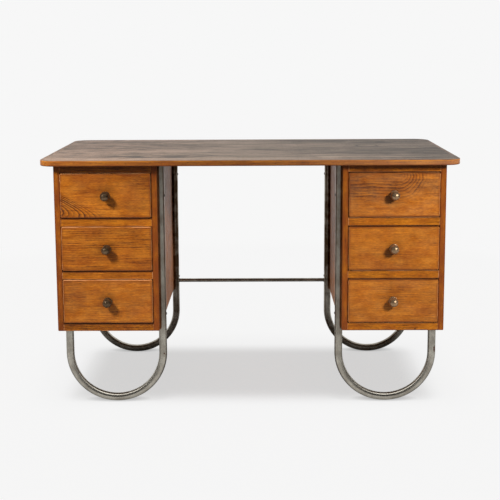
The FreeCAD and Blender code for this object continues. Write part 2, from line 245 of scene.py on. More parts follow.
def grid(points, u, v, wrap_rows=False, wrap_columns=True):
    """Points (rows, columns, 3) as a mesh's points, quads and corner coordinates. Each quad joins
    point (i, j) to its neighbours i + 1 and j + 1, and a wrapped direction goes back to 0. The corner
    coordinates are u of the row and v of the column, which has one value more where columns wrap."""
    rows, columns = points.shape[:2]
    i, j = np.meshgrid(
        np.arange(rows if wrap_rows else rows - 1),
        np.arange(columns if wrap_columns else columns - 1),
        indexing="ij",
    )
    i, j = i.ravel(), j.ravel()
    down, right = (i + 1) % rows, (j + 1) % columns
    faces = np.stack([i * columns + j, down * columns + j, down * columns + right, i * columns + right], 1)
    along = np.stack([u[i], u[down], u[down], u[i]], 1)
    across = np.stack([v[j], v[j], v[j + 1], v[j + 1]], 1)
    return points.reshape(-1, 3), faces, np.stack([along, across], 2).reshape(-1, 2)


def joined(parts):
    """Several grids as one: their points, faces that count on from the last grid's, and corners."""
    starts = np.cumsum([0] + [len(points) for points, _, _ in parts[:-1]])
    return (
        np.concatenate([points for points, _, _ in parts]),
        np.concatenate([faces + start for (_, faces, _), start in zip(parts, starts)]),
        np.concatenate([corners for _, _, corners in parts]),
    )


def quarter_curve(start, corner, end, steps=8):
    """Points of a quarter ellipse from start to end that bulges towards a corner: with the opposite
    point o = start + end - corner, they are o + (start - o) cos a + (end - o) sin a."""
    start, corner, end = (np.array(point, float) for point in (start, corner, end))
    opposite = start + end - corner
    a = np.linspace(0, math.pi / 2, steps + 1)[:, None]
    return opposite + (start - opposite) * np.cos(a) + (end - opposite) * np.sin(a)


def square_to(axis):
    """Two directions e and f square to an axis and to each other."""
    helper = np.array([0.0, 0.0, 1.0]) if abs(axis[2]) < 0.9 else np.array([1.0, 0.0, 0.0])
    e = np.cross(helper, axis)
    e /= np.linalg.norm(e)
    return e, np.cross(axis, e)


def turned(profile, segments, origin, axis):
    """A surface of revolution: a profile's points (radius, height) go round the axis, as
    origin + height * axis + radius * (cos a * e + sin a * f), with e and f square to the axis. The
    corner coordinates are the height and the angle."""
    axis = np.array(axis, float)
    e, f = square_to(axis)
    a = np.linspace(0, 2 * math.pi, segments + 1)
    ring = np.cos(a[:-1])[:, None] * e + np.sin(a[:-1])[:, None] * f
    points = np.array(origin, float) + profile[:, 1, None, None] * axis + profile[:, 0, None, None] * ring
    return grid(points, profile[:, 1], a)


def slotted_head(settings, origin, axis, sink):
    """A domed screw head with a driver's slot. Its columns cross the slot: at x, the section runs
    from -c to c with c = sqrt(radius^2 - x^2), over the cap's height h (1 - (x^2 + y^2) / radius^2)
    or the slot's floor, and back at the sunk underside. Columns come twice at the slot's walls."""
    radius, height = settings.head_radius, settings.head_height
    half_slot = settings.slot_width / 2
    turn = np.linspace(math.pi, math.acos(-half_slot / radius), 9)
    left = np.cos(turn) * radius
    x = np.concatenate([left, [-half_slot, half_slot], -left[::-1]])
    in_slot = np.zeros(len(x), bool)
    in_slot[len(left):len(left) + 2] = True
    half_chord = np.sqrt(np.maximum(radius ** 2 - x ** 2, 0))
    y = half_chord[:, None] * np.sin(np.linspace(-math.pi / 2, math.pi / 2, 15))
    cap = height * np.sqrt(np.maximum(1 - (x[:, None] ** 2 + y ** 2) / radius ** 2, 0))
    floor = np.minimum(cap, height - settings.slot_depth)
    upper = np.where(in_slot[:, None], floor, cap)
    lower = np.full_like(upper, -sink)
    x_all = np.broadcast_to(x[:, None], (len(x), 2 * y.shape[1]))
    y_all = np.concatenate([y, y[:, ::-1]], 1)
    z_all = np.concatenate([upper, lower], 1)
    axis = np.array(axis, float)
    e, f = square_to(axis)
    points = np.array(origin, float) + x_all[..., None] * e + y_all[..., None] * f + z_all[..., None] * axis
    return grid(points, x, np.linspace(0, 1, points.shape[1] + 1))


def screw(settings, seat, axis, reach, sink):
    """A slotted head on a seat and a shank that reaches back from it."""
    shank = np.array([(0, 0), (settings.shank_radius, 0), (settings.shank_radius, -reach), (0, -reach)])
    return [slotted_head(settings, seat, axis, sink), turned(shank, 16, seat, axis)]


# Shader nodes

def tint(name, gain=1.0):
    """A colour of the finish's settings times a gain, with full alpha."""
    return opaque(getattr(bpy.context.scene.desk_finish, name), gain)


def drawn_out(axis, along, across):
    """A noise scale of its own along one axis."""
    return tuple(along if number == axis else across for number in (X, Y, Z))


class Value:
    """A number that nodes work out, or with the vector kind of node a point or a colour. Each sum of
    two adds a node."""

    def __init__(self, tree, socket, kind="Math"):
        self.tree, self.socket, self.kind = tree, socket, kind

    def of(self, operation, *others):
        """This value, and any others, through one math node."""
        node = self.tree.add(self.kind, dict(enumerate((self, *others))), operation=operation)
        return Value(self.tree, node.outputs[0], self.kind)

    def __add__(self, other):
        return self.of("ADD", other)

    def __sub__(self, other):
        return self.of("SUBTRACT", other)

    def __rsub__(self, other):
        return self * -1.0 + other

    def __mul__(self, other):
        return self.of("MULTIPLY", other)

    def __abs__(self):
        return self.of("ABSOLUTE")

    def above(self, other):
        """The larger of the two."""
        return self.of("MAXIMUM", other)

    def below(self, other):
        """The smaller of the two."""
        return self.of("MINIMUM", other)

    def span(self, low, high, to_low=0.0, to_high=1.0, kind="SMOOTHSTEP"):
        """The way from low to high, clamped and eased, as a number from to_low to to_high."""
        inputs = {"Value": self, "From Min": low, "From Max": high, "To Min": to_low, "To Max": to_high}
        return self.tree.value("MapRange", inputs, interpolation_type=kind)

    def ramp(self, to_low, to_high, low=0.3, high=0.7):
        """The same without easing, and from the 0.3 and 0.7 that noise mostly lies between."""
        return self.span(low, high, to_low, to_high, "LINEAR")

    def mapped(self, scale=(1, 1, 1), location=(0, 0, 0), rotation=(0, 0, 0)):
        """A point scaled, turned and moved. Two scales are those along the grain and across it."""
        inputs = {"Vector": self, "Location": location, "Rotation": rotation}
        return self.tree.point("Mapping", {**inputs, "Scale": (*scale, scale[-1])[:3]})

    def distance(self, other=(0, 0, 0)):
        """How far two points are apart."""
        return self.tree.value("VectorMath", {0: self, 1: other}, "Value", operation="DISTANCE")

    def steps_from(self, centre, half_size):
        """How far a point is from a centre, counted in half sizes. A half size of 0 leaves its axis out."""
        return (self - centre).mapped(tuple(half and 1 / half for half in half_size)).distance()

    def parts(self):
        """The three numbers of a point."""
        return [Value(self.tree, socket) for socket in self.tree.add("SeparateXYZ", {0: self}).outputs]

    def towards(self, amount, other, gain=1.0):
        """This colour mixed by an amount with another one."""
        return self.tree.blend(amount, self, other, gain)


class Tree:
    """A material's nodes, with one short call for each kind that the finishes use."""

    def __init__(self, name, world=None):
        self.material = world or bpy.data.materials.new(name)
        self.material.use_nodes = True
        self.nodes = self.material.node_tree.nodes
        self.links = self.material.node_tree.links
        self.nodes.clear()
        self.output = self.nodes.new("ShaderNodeOutputWorld" if world else "ShaderNodeOutputMaterial")

    def put(self, socket, value):
        """Links a socket to a node's output, or sets it to a value."""
        if isinstance(value, Value):
            self.links.new(value.socket, socket)
        elif value is not None:
            socket.default_value = value

    def add(self, kind, inputs=(), **settings):
        """A node with its settings, and its inputs by name or number."""
        node = self.nodes.new("ShaderNode" + kind)
        for key, value in settings.items():
            setattr(node, key, value)
        for key, value in dict(inputs).items():
            self.put(node.inputs[key], value)
        return node

    def value(self, kind, inputs=(), output=0, **settings):
        """A new node's output as a number."""
        return Value(self, self.add(kind, inputs, **settings).outputs[output])

    def point(self, kind, inputs=(), output=0, **settings):
        """A new node's output as a point or a colour."""
        return Value(self, self.add(kind, inputs, **settings).outputs[output], "VectorMath")

    def place(self, centre=(0, 0, 0)):
        """The point in the desk's own frame, in metres from a centre."""
        return self.point("TexCoord", output="Object") - tuple(float(part) for part in centre)

    def skin(self):
        """A made piece's corner coordinates."""
        return self.point("UVMap", uv_map="skin")

    def merge(self, x, y, z):
        """A point from its three parts."""
        return self.point("CombineXYZ", {0: x, 1: y, 2: z})

    def noise(self, point, scale=1.0, detail=2.0, rough=0.5, distortion=0.0):
        """Cloud-like noise, of one scale or of one for each axis."""
        if not isinstance(scale, float):
            point, scale = point.mapped(scale), 1.0
        inputs = {"Vector": point, "Scale": scale, "Detail": detail, "Roughness": rough}
        return self.value("TexNoise", {**inputs, "Distortion": distortion})

    def drift(self, point, reach):
        """A vector that wanders by up to about half the reach each way."""
        cloud = self.point("TexNoise", {"Vector": point, "Scale": 1.0, "Detail": 2.0}, 1)
        return (cloud - (0.5, 0.5, 0.5)) * reach

    def blend(self, amount, first, second, gain=1.0):
        """Two colours mixed by an amount. One that is a word is a colour of the finish's settings, and the
        gain is the second one's. The node's colours are its inputs 6 and 7 and its output 2."""
        first = tint(first) if isinstance(first, str) else first
        second = tint(second, gain) if isinstance(second, str) else second
        return self.point("Mix", {0: amount, 6: first, 7: second}, 2, data_type="RGBA")

    def show(self, shader):
        """Joins a shader to the output."""
        self.put(self.output.inputs["Surface"], shader)
        return self.material

    def surface(self, colour, gloss, height, depth, specular=0.5, **more):
        """A finish from its colour, its roughness and a bump, which is a height of 0 to 1 times a depth
        in metres."""
        normal = self.value("Bump", {"Height": height, "Distance": depth})
        inputs = {"Base Color": colour, "Roughness": gloss, "Specular IOR Level": specular, "Normal": normal}
        return self.show(self.value("BsdfPrincipled", {**inputs, **more}))

    def ray(self, kind):
        """1 for rays of one kind, such as Camera or Glossy, and 0 for others."""
        return self.value("LightPath", output=f"Is {kind} Ray")

    def light(self, kind, colour, strength=None):
        """A shader from its colour and, where it shines, its strength."""
        return self.value(kind, {0: colour} if strength is None else {0: colour, 1: strength})

    def mix(self, share, first, second):
        """Two shaders mixed. None is black."""
        return self.value("MixShader", {0: share, 1: first, 2: second})


# Oak

class Board:
    """How one board was sawn and has aged."""

    grain = X  # the axis that its grain follows
    face = Y  # the axis that its face looks along
    heart = (-0.4, 0.02)  # where the middle of the log lies from the board's centre, along and across
    lean = 0.0  # how far the log leans in the face's plane
    rise = (0.08, 0.08)  # how fast the face cuts across the rings before and behind that middle
    depth = 0.03  # how deep the middle lies behind the board's own middle
    taper = 0.0  # how fast the log tapers
    ring = 5.0  # spacing of the rings, in millimetres
    bold = 100  # how many of them show strongly
    faint = 0.25  # how strong the others are
    figure = 0.45  # how dark the rings are
    waver = 1.0  # how much they waver
    streaks = 0.5  # how strong the streaks are
    tone = 0.0  # how dark the board is
    honey = 0.0  # how yellow it is
    cloudy = 0.0  # how far it is clouded towards a pale grey: partly a bloom on the lacquer, partly painted sheen standing for the lacquer's gloss
    darker = (0.0, 0.0)  # how much darker it grows along and across, a metre: painted shade, darker under the top's overhang and away from the nearer lamp, with some of the board's own tone
    grime = 10.0  # how far grime reaches in from its edges, in millimetres
    dirt = None  # how much painted shade its lower and upper edges get, standing for the shadow in the gaps; above 1 it also reaches further in
    knot = None  # a knot's place, along and across
    mark = None  # a mark's place, radius and strength
    seed = 0.0  # where its own noise lies

    def __init__(self, **traits):
        for name, value in traits.items():
            setattr(self, name, value)
        self.across = X + Y + Z - self.grain - self.face


def board_frame(tree, board, centre, fold=0.0):
    """The point as (along the grain, across it, into the face), in metres from the board's centre, and
    the same point moved to where the board's own noise is. Of two boards in one node, whose middles
    lie fold from the node's, each is taken from its own middle and has its own noise."""
    parts = tree.place(centre).parts()
    across = parts[board.across]
    shift = (board.seed, board.seed * 1.7, board.seed * 0.4)
    if fold:
        which = across.of("SIGN")
        across -= which * fold
        shift = tree.merge(which * 0.4 + shift[0], shift[1], shift[2])
    spot = tree.merge(parts[board.grain], across, parts[board.face])
    return spot, spot + shift


def growth_rings(tree, board, spot, seeded):
    """How dark a point is in its growth ring, 1 at the dark start and 0 at the pale end, and the
    ring's number, which is (sqrt(v^2 + (rise u + depth + w)^2) + taper u) / spacing for a point
    (u, v, w) that is taken from the log's middle, turned by the lean and pushed about by a slow drift.
    The rise differs ahead and behind. Near a knot the point is drawn towards the knot's own height, so
    that the lines part round it."""
    slow = tree.drift(seeded.mapped((5.0, 16.0)), tuple(reach * board.waver for reach in (0.03, 0.022, 0.01)))
    moved = spot + slow + tree.drift(seeded.mapped((30.0, 90.0)), (0.0, 0.0035, 0.0))
    if board.knot:
        offset = moved - (*board.knot, 0.0)
        calm = offset.mapped((0.55, 1.0)).distance().span(0.0, 0.042, 0.88, 0.0)
        moved -= tree.merge(0.0, calm * offset.parts()[1], 0.0)
    u, v, w = (moved - (*board.heart, 0.0)).mapped(rotation=(0, 0, board.lean)).parts()
    deep = u.above(0.0) * board.rise[0] + u.below(0.0) * board.rise[1] + (w + board.depth)
    number = (u * board.taper + tree.merge(0.0, v, deep).distance()) * (1 / (board.ring * MM))
    part = number.of("FRACT")
    strength = number.span(board.bold * 0.85, board.bold * 1.2, 1.0, board.faint)
    return part.span(0.0, 0.12) * (1.0 - part).of("POWER", 1.8) * strength, number


def oak_shade(tree, board, spot, seeded, rings):
    """How dark the wood is at a point, about 0 for its general tone, 1 for its darkest lines and below
    0 for its palest parts: the rings, bands, streaks, flecks, fibres and pores added up."""
    streaks = board.streaks
    u, v, _ = spot.parts()
    pores = tree.noise(seeded, (110.0, 2300.0), 1.0).span(0.56, 0.66) * (rings * 0.75 + 0.25)
    fibre = tree.noise(seeded, (30.0, 900.0), 2.0, 0.6)
    streaky = tree.noise(seeded, (7.0, 14.0), 1.0, 0.55).ramp(0.4, 1.0, 0.38, 0.62)
    streak = tree.noise(seeded, (11.0, 235.0), 3.0, 0.6).ramp(-0.26 * streaks, 0.56 * streaks, 0.36, 0.7)
    # The slope board.darker is painted shade, with some of the board's own tone: fronts darker towards the
    # top, under the top's overhang, and away from their pedestal's lamp
    shade = rings * board.figure + board.tone + u * board.darker[0] + v * board.darker[1] + streak * streaky
    for scale, detail, rough, paler, darker in (
        ((10.0, 17.0), 1.0, 0.5, -0.2 * streaks, 0.2 * streaks),
        ((3.0, 55.0), 3.0, 0.55, -0.09 * streaks, 0.13 * streaks),
        ((90.0, 400.0), 2.0, 0.6, -0.25, 0.27),
        ((36.0, 70.0), 2.0, 0.6, -0.16 * streaks, 0.16 * streaks),
    ):
        shade += tree.noise(seeded, scale, detail, rough).ramp(paler, darker)
    return shade + fibre.ramp(-0.15, 0.18) + pores * 0.35, pores, fibre


def oak_edges(tree, board, spot, seeded, half_size, wood):
    """The same wood with reddish grime along its edges, a pale worn arris, painted shade along its lower and
    upper edges, which stands for the shadow in the gaps between the drawer fronts and the rails, and on a
    side panel a redder front edge."""
    u, v, w = spot.parts()
    half = half_size[board.across]
    near = (half_size[board.grain] - abs(u)).below(half - abs(v))
    smudge = tree.noise(seeded, (18.0, 30.0), 3.0)
    grime = near.span(0.001, board.grime * MM, 1.0, 0.0) * smudge.span(0.3, 0.62, 0.2, 0.75)
    wood = wood.towards(grime, "oak_red", 0.72)
    if board.dirt:
        worn = near.span(0.001, 0.0024, 1.0, 0.0) * smudge.span(0.36, 0.56, 0.2, 0.85)
        wood = wood.towards(worn, tree.blend(0.45, tint("oak_light", 1.2), "top_light", 1.5))
        # Painted shade: darker red-brown bands along the lower and upper edges, standing for the shadow in
        # the gaps
        for amount, upward in zip(board.dirt, (1.0, -1.0)):
            reach = 0.0032 * max(amount, 1.0)
            dirt = (v * upward + half).span(0.0007, reach, min(amount, 1.0), 0.0)
            wood = wood.towards(dirt, "oak_red", 0.25)
    if board.face == X:
        front_edge = (v + half).span(0.0015, 0.003, 1.0, 0.0)
        redder = (half_size[X] - abs(w)).span(0.0, 0.006, 0.75, 0.15) * smudge.ramp(0.55, 1.1, 0.3, 0.62)
        wood = wood.towards(front_edge * redder, "oak_red", 0.7)
    return wood


def oak(name, node, board, roughness=0.42, knob=False, fold=0.0, width=None):
    """Lacquered oak with its rings, pores, streaks and blotches, reddened edges and worn arrises, and
    darker where fingers reach for a knob in its middle. Two boards in one node are fold from the
    node's middle, and each is as wide as the width."""
    low, high, centre = node_box(node)
    half_size = ((high - low) / 2).tolist()
    if fold:
        half_size[board.across] = width / 2
    tree = Tree(name)
    spot, seeded = board_frame(tree, board, centre, fold)
    rings, number = growth_rings(tree, board, spot, seeded)
    year = tree.noise(tree.merge(number.of("FLOOR"), board.seed, 0.0), 3.7, 0.0)
    rings = rings * year.ramp(0.45, 1.15) * tree.noise(seeded, (5.0, 11.0)).ramp(0.6, 1.3)
    shade, pores, fibre = oak_shade(tree, board, spot, seeded, rings)

    blotch = tree.noise(seeded, (22.0, 38.0), 3.0, 0.55)
    redness = tree.noise(seeded.mapped((6.0, 13.0)), 1.7)
    wood = tree.blend(blotch.ramp(board.honey, board.honey + 0.8), "oak_mean", "oak_light")
    wood = wood.towards(redness.span(0.42, 0.66, 0.0, 0.3), "oak_red", 1.15)
    wood = wood.towards(shade.above(0.0), "oak_dark")
    wood = wood.towards(shade.ramp(0.65, 0.0, -0.4, 0.0), "oak_light", 1.3)
    # Painted sheen: the wood is clouded towards a pale grey, partly a bloom on the lacquer and partly
    # standing for its gloss at a glancing view; a side panel's front edge is kept clear of it
    cloud = blotch.ramp(0.4 * board.cloudy, 1.6 * board.cloudy)
    if board.face == X:
        cloud *= (spot.parts()[1] + half_size[board.across]).span(0.0015, 0.003)
    wood = wood.towards(cloud, "top_light", 1.4)
    wood = oak_edges(tree, board, spot, seeded, half_size, wood)

    if board.knot:
        away = (spot - (*board.knot, 0.0)).mapped((0.5, 1.0)).distance() + (blotch - 0.5) * 0.015
        wood = wood.towards(away.span(0.002, 0.009, 0.8, 0.0), "oak_dark", 0.7)
    if board.mark:
        place, radius, strength = board.mark
        offset = (np.array(place) - centre)[[board.grain, board.across, board.face]]
        stain = spot.distance(offset.tolist()).span(radius * 0.3, radius, strength, 0.0)
        wood = wood.towards(stain, "oak_dark", 0.7)
    if knob:
        handled = spot.distance().span(0.012, 0.045, 0.55, 0.0) * blotch.span(0.3, 0.65)
        wood = wood.towards(handled, "oak_dark", 0.9)
    scuff = tree.noise(seeded, (60.0, 70.0), 4.0, 0.65)
    gloss = scuff.ramp(roughness - 0.09, roughness + 0.12) + pores * 0.2
    return tree.surface(wood, gloss, fibre * 0.25 - rings * 0.3 - pores * 0.9, GRAIN_DEPTH, 0.3)


# Other woods

def desk_top(name):
    """The worn veneer of the top: grey-brown, in long streaks and small cloud-like mottles, browner and paler
    where sleeves have rubbed it, with stains, a pale rub and a ring from a cup, and plain stained oak on its
    underside."""
    low, high, centre = node_box("top_panel")
    tree = Tree(name)
    spot, on_desk = tree.place(centre), tree.place()
    x, y, z = spot.parts()

    def layer(scale, reach, detail=3.0, rough=0.6, location=(0, 0, 0)):
        """Noise on the veneer, as a number from -reach to reach."""
        return tree.noise(spot.mapped(scale, location), 1.0, detail, rough).ramp(-reach, reach)

    mottle = layer((15.0, 26.0, 1.0), 0.42, 4.0, 0.6, (3.1, 0.4, 0.0)) * x.span(-0.35, 0.05, 1.0, 0.45)
    shade = mottle + layer((3.0, 5.0, 1.0), 0.18, 2.0, 0.5, (7.7, 2.0, 0.0)) + 0.5
    for scale, reach in (
        ((1.5, 26.0, 1.0), 0.38), ((5.0, 75.0, 30.0), 0.28),
        ((16.0, 700.0, 300.0), 0.17), ((60.0, 260.0, 300.0), 0.1),
    ):
        shade += layer(scale, reach)
    shade += x.span(0.1, 0.62, 0.0, 0.34) + x.span(-0.62, -0.25, -0.12, 0.0)
    from_front = y + float(centre[1] - low[1])
    rubbed = from_front.span(0.0, 0.1, 0.55, 0.0) * x.span(0.0, 0.45, 1.0, 0.2)
    shade -= rubbed
    for place, size, strength in TOP_STAINS:
        shade += on_desk.steps_from((*place, 0.0), (*size, 0.0)).span(0.5, 1.1, strength, 0.0)
    cup_middle, cup_radius = (0.402, 0.09, float(high[2])), 0.036
    shade += abs(on_desk.distance(cup_middle) - cup_radius).span(0.001, 0.007, 0.55, 0.0)
    pores = tree.noise(spot, (70.0, 2200.0, 900.0), 1.0).span(0.56, 0.66)
    wood = tree.blend(x.span(-0.5, 0.0, 0.1, 0.9), "top_light", "top_grey")
    wood = wood.towards(shade.ramp(0.0, 1.0, 0.0, 1.0), "top_dark").towards(pores * 0.4, "top_dark", 0.6)
    wood = wood.towards(z.span(0.0, 0.004, 1.0, 0.0), "oak_red", 0.8)
    gloss = shade.ramp(0.48, 0.6, 0.0, 1.0) + pores * 0.12
    return tree.surface(wood, gloss, layer((16.0, 700.0, 300.0), 0.15) - pores, GRAIN_DEPTH, 0.32)


def bent_lipping(name):
    """The oak strip round the top: its grain runs along the edge, its upper face is worn grey like the
    veneer, and its lower edge is darker and redder. It is painted darker in the middle and paler towards the
    right end: painted light, standing for the fall-off of the two front lamps."""
    low, high, centre = node_box("top_lipping")
    half_x, half_y, top = ((high - low) / 2).tolist()
    tree = Tree(name)
    x, y, z = tree.place(centre).parts()
    grain = tree.merge(x + y, (half_x - abs(x)).below(half_y - abs(y)), z)
    streak = tree.noise(grain, (14.0, 330.0), 3.0, 0.6)
    fleck = tree.noise(grain, (120.0, 400.0), 2.0, 0.6)
    fibre = tree.noise(grain, (40.0, 1100.0), 2.0, 0.6)
    pores = tree.noise(grain, (120.0, 2400.0), 1.0).span(0.57, 0.67)
    blotch = tree.noise(grain, (9.0, 40.0), 3.0)
    shade = streak.ramp(-0.04, 0.62) + fleck.ramp(-0.16, 0.2) + fibre.ramp(-0.1, 0.1) + pores * 0.3
    # Painted shade: darker towards the middle, between the two lamps
    shade += abs(x).span(0.0, 0.5, 0.2, 0.0)
    wood = tree.blend(blotch.span(0.35, 0.65), "oak_mean", "oak_light")
    # Painted light: paler towards the right end
    wood = wood.towards(shade.above(0.0), "oak_dark").towards(x.span(-0.1, 0.6, 0.06, 0.22), "top_light", 1.4)
    arris = z.span(top - 0.006, top - 0.0025, 0.0, 0.45) * blotch.span(0.35, 0.6, 0.4, 1.0)
    worn = z.span(top - 0.002, top - 0.0004) * blotch.span(0.3, 0.6, 0.75, 1.0)
    greyed = tree.blend(streak.span(0.35, 0.65, 0.2, 0.75), "top_light", "top_dark")
    greyed = greyed.towards(x.span(0.05, 0.6, 0.0, 0.75), "top_dark")
    wood = wood.towards(arris, "oak_light", 1.2).towards(worn, greyed)
    wood = wood.towards(z.span(0.0005 - top, 0.006 - top, 0.8, 0.0), "oak_red", 0.6)
    return tree.surface(wood, blotch.ramp(0.4, 0.52) + worn * 0.1, fibre * 0.3 - pores, GRAIN_DEPTH, 0.35)


def beech(name, grain):
    """Unfinished beech, darkened by age: fine brown flecks along the grain and a dusty bloom."""
    tree = Tree(name)
    spot = tree.place()
    streak = tree.noise(spot.mapped(drawn_out(grain, 3.0, 26.0)), 4.0, 3.0, 0.6)
    fleck = tree.noise(spot, drawn_out(grain, 170.0, 900.0), 1.0).span(0.55, 0.68)
    dust = tree.noise(spot, 14.0, 4.0, 0.6)
    wood = tree.blend(streak.span(0.3, 0.7, 0.0, 0.7) + fleck * 0.4, "beech_light", "beech_dark")
    wood = wood.towards(dust.span(0.45, 0.7, 0.0, 0.35), "beech_dark", 0.75)
    return tree.surface(wood, dust.ramp(0.55, 0.75), fleck, GRAIN_DEPTH / 2, 0.3)


def plywood(name, face, layer):
    """Plywood: rotary-cut veneer on its faces, with wide wavy figure, and its layers on the edges."""
    tree = Tree(name)
    spot = tree.place()
    grain = Y if face == Z else Z
    flow = tree.noise(spot, drawn_out(grain, 3.0, 10.0), 3.0, 0.5, 1.2)
    pores = tree.noise(spot, drawn_out(grain, 90.0, 1500.0), 1.0).span(0.56, 0.68)
    edge = (spot.parts()[face] * (math.pi / layer)).of("SINE")
    shade = (flow * 45.0).of("SINE").span(-1.0, 1.0, 0.0, 0.3) + pores * 0.4 + edge.span(-0.2, 0.2, 0.0, 0.12)
    dust = tree.noise(spot, 9.0, 4.0, 0.6)
    wood = tree.blend(shade, "ply_light", "beech_dark", 0.72)
    wood = wood.towards(dust.span(0.5, 0.75, 0.0, 0.5), "oak_dark", 1.6)
    return tree.surface(wood, dust.ramp(0.5, 0.7), pores, -GRAIN_DEPTH / 2, 0.35)


# Metals

def nickel_plate(name, tarnished, marks=()):
    """Old nickel plating on steel, polished round the tube, so that its gloss is drawn out along it: a patchy
    tarnish, darker and duller higher up the legs, smears, a few pits and rust, and marks (place, half sizes,
    strength)."""
    tree = Tree(name)
    spot = tree.place()
    smear = tree.noise(tree.skin(), (55.0, 90.0, 1.0), 3.0, 0.6)
    cloud = tree.noise(spot, 16.0, 4.0, 0.6)
    pits = tree.noise(spot, 420.0, 2.0, 0.6)
    patch = tree.noise(spot, 35.0, 3.0, 0.7)
    rust = pits.span(0.62, 0.7) * patch.span(0.58, 0.7, 0.0, 0.8)
    rust = rust.above(patch.span(0.74, 0.79, 0.0, 0.7))
    for place, half_size, strength in marks:
        away = spot.steps_from(place, half_size) + pits.ramp(-0.25, 0.25)
        rust = rust.above(away.span(0.55, 1.0, strength, 0.0))
    upper_leg = spot.parts()[2].span(0.18, 0.34, 0.0, 0.3)
    dull = cloud.span(0.34, 0.68, max(0.0, tarnished - 0.65), tarnished)
    dull += smear.ramp(-0.05, 0.12, 0.35, 0.65) + upper_leg
    metal = tree.blend(dull, "nickel", "brass", 0.4).towards(rust, "rust", 0.7)
    return tree.surface(
        metal, dull.ramp(0.26, 0.36, 0.0, 0.4) + rust * 0.3, rust, 0.01 * MM,
        Metallic=rust.span(0.2, 0.8, 1.0, 0.2), Anisotropic=0.9,
        Tangent=tree.value("Tangent", direction_type="UV_MAP", uv_map="skin"))


def aged_brass(name, tarnished, bright):
    """Turned brass gone brown: lathe lines round it, brighter where fingers rub, dark in the hollows.
    The corner coordinate u is the distance from the drawer front."""
    tree = Tree(name)
    height = tree.skin().parts()[0]
    lathe = tree.noise(tree.merge(height * 2600.0, 0.0, 0.0), 1.0, 2.0, 0.7)
    tarnish = tree.noise(tree.place(), 130.0, 4.0, 0.65)
    past_flange, before_head = height.span(0.003, 0.0045), height.span(0.0125, 0.016, 1.0, 0.0)
    hollow = before_head * past_flange
    dark = tarnish.span(0.38, 0.66, 0.1 * tarnished, 0.9 * tarnished)
    dark = (dark + lathe.span(0.35, 0.6, 0.0, 0.3 * tarnished)).above(hollow * 0.9)
    metal = tree.blend(dark, tint("brass", bright), "brass", 0.28 * bright)
    return tree.surface(metal, tarnish.ramp(0.22, 0.36) + hollow * 0.15, lathe, 0.06 * MM, Metallic=0.75)


def screw_steel(name):
    """Plain steel, dulled and speckled with rust."""
    tree = Tree(name)
    speck = tree.noise(tree.place(), 700.0, 3.0, 0.6)
    rust = speck.span(0.52, 0.68, 0.0, 0.8)
    metal = tree.blend(rust, "steel", "rust")
    gloss = speck.span(0.35, 0.7, 0.28, 0.6)
    return tree.surface(metal, gloss, speck, 0.05 * MM, Metallic=rust.span(0.2, 0.8, 1.0, 0.35))


def finish(material, *nodes):
    """Gives CAD nodes their finish in every material slot."""
    for node in nodes:
        piece = frame["nodes"][node]
        for slot in piece.material_slots:
            slot.material = material
        if not piece.material_slots:
            piece.data.materials.append(material)


def add_piece(piece, material, body, slot, *nodes):
    """Gives a new piece its finish, hangs it on the body that it rides on and hides the nodes that it stands
    for.
    """
    piece.data.materials.append(material)
    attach(piece, body)
    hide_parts(*nodes)


# Tubes

def loop_sizes(side, end):
    """A loop's tube radius, the inner leg's x, the bend's centre and radius, and the height of both
    ends, from the CAD nodes' boxes."""
    low, high, centre = node_box(f"{end}_{side}_loop")
    radius = (high[1] - low[1]) / 2
    nearer, farther = sorted((abs(low[0]), abs(high[0])))
    inner_x, outer_x = nearer + radius, farther - radius
    bend = (outer_x - inner_x) / 2
    bend_x = side_sign(side) * (inner_x + bend)
    outer_top = node_box(f"{side}_floor")[0][2]
    return radius, inner_x, np.array([bend_x, centre[1], low[2] + radius + bend]), bend, high[2], outer_top


def leg_screw_places():
    """The seats of the leg screws on the tubes: side, y and z of each."""
    low, high, _ = node_box("leg_screws")
    head = bpy.context.scene.desk_screws.head_radius
    return [
        (side, loop_sizes(side, end)[2][1], z)
        for side in SIDES for end in ENDS for z in (low[2] + head, high[2] - head)
    ]


def tube_loop(settings, side, end):
    """A bent tube with its bore. The centreline runs down the inner leg, round the half circle and up
    the outer leg. At arc length t the outward normal is n = (cos p, sin p) with p from 180 to 360
    degrees round the bend, and the skin is centre + r (cos a n + sin a y). The radius r is the tube's,
    less a slow waver and a Gaussian dent of the screws' depth on the side that faces the kneehole."""
    radius, _, centre, bend, top, outer_top = loop_sizes(side, end)
    sign = side_sign(side)
    first, arc, last = top - centre[2], math.pi * bend, outer_top - centre[2]
    total = first + arc + last
    t = np.linspace(0, total, int(total / settings.step) + 1)
    p = math.pi + np.clip((t - first) / bend, 0, math.pi)
    normal = np.stack([sign * np.cos(p), np.zeros_like(p), np.sin(p)], 1)
    line = centre + bend * normal
    line[:, 2] += np.maximum(first - t, 0) + np.maximum(t - first - arc, 0)

    a = np.linspace(0, 2 * math.pi, settings.sides + 1)
    across = a[:-1]
    turn = (across + math.pi) % (2 * math.pi) - math.pi
    wave = np.sin(31 * t[:, None] + 2 * across + sign) + np.sin(17 * t[:, None] - across + centre[1] * 9)
    skin = radius - settings.waver * (0.5 + 0.25 * wave)
    for screw_side, y, z in leg_screw_places():
        if screw_side == side and abs(y - centre[1]) < radius:
            along = (t - (top - z)) / settings.dent_length
            skin -= settings.dent_depth * np.exp(-along[:, None] ** 2) * np.exp(-(turn / 0.6) ** 2)
    direction = np.cos(across)[:, None] * normal[:, None, :]
    direction = direction + np.sin(across)[:, None] * np.array([0.0, 1.0, 0.0])
    outside = line[:, None, :] + skin[..., None] * direction
    bore = (line[:, None, :] + (radius - settings.wall) * direction)[::-1]
    points, faces, corners = grid(
        np.concatenate([outside, bore]), np.concatenate([t, t[::-1]]), a * radius, wrap_rows=True)
    return mesh_object(f"bent_tube_{end}_{side}", points, faces, corners)


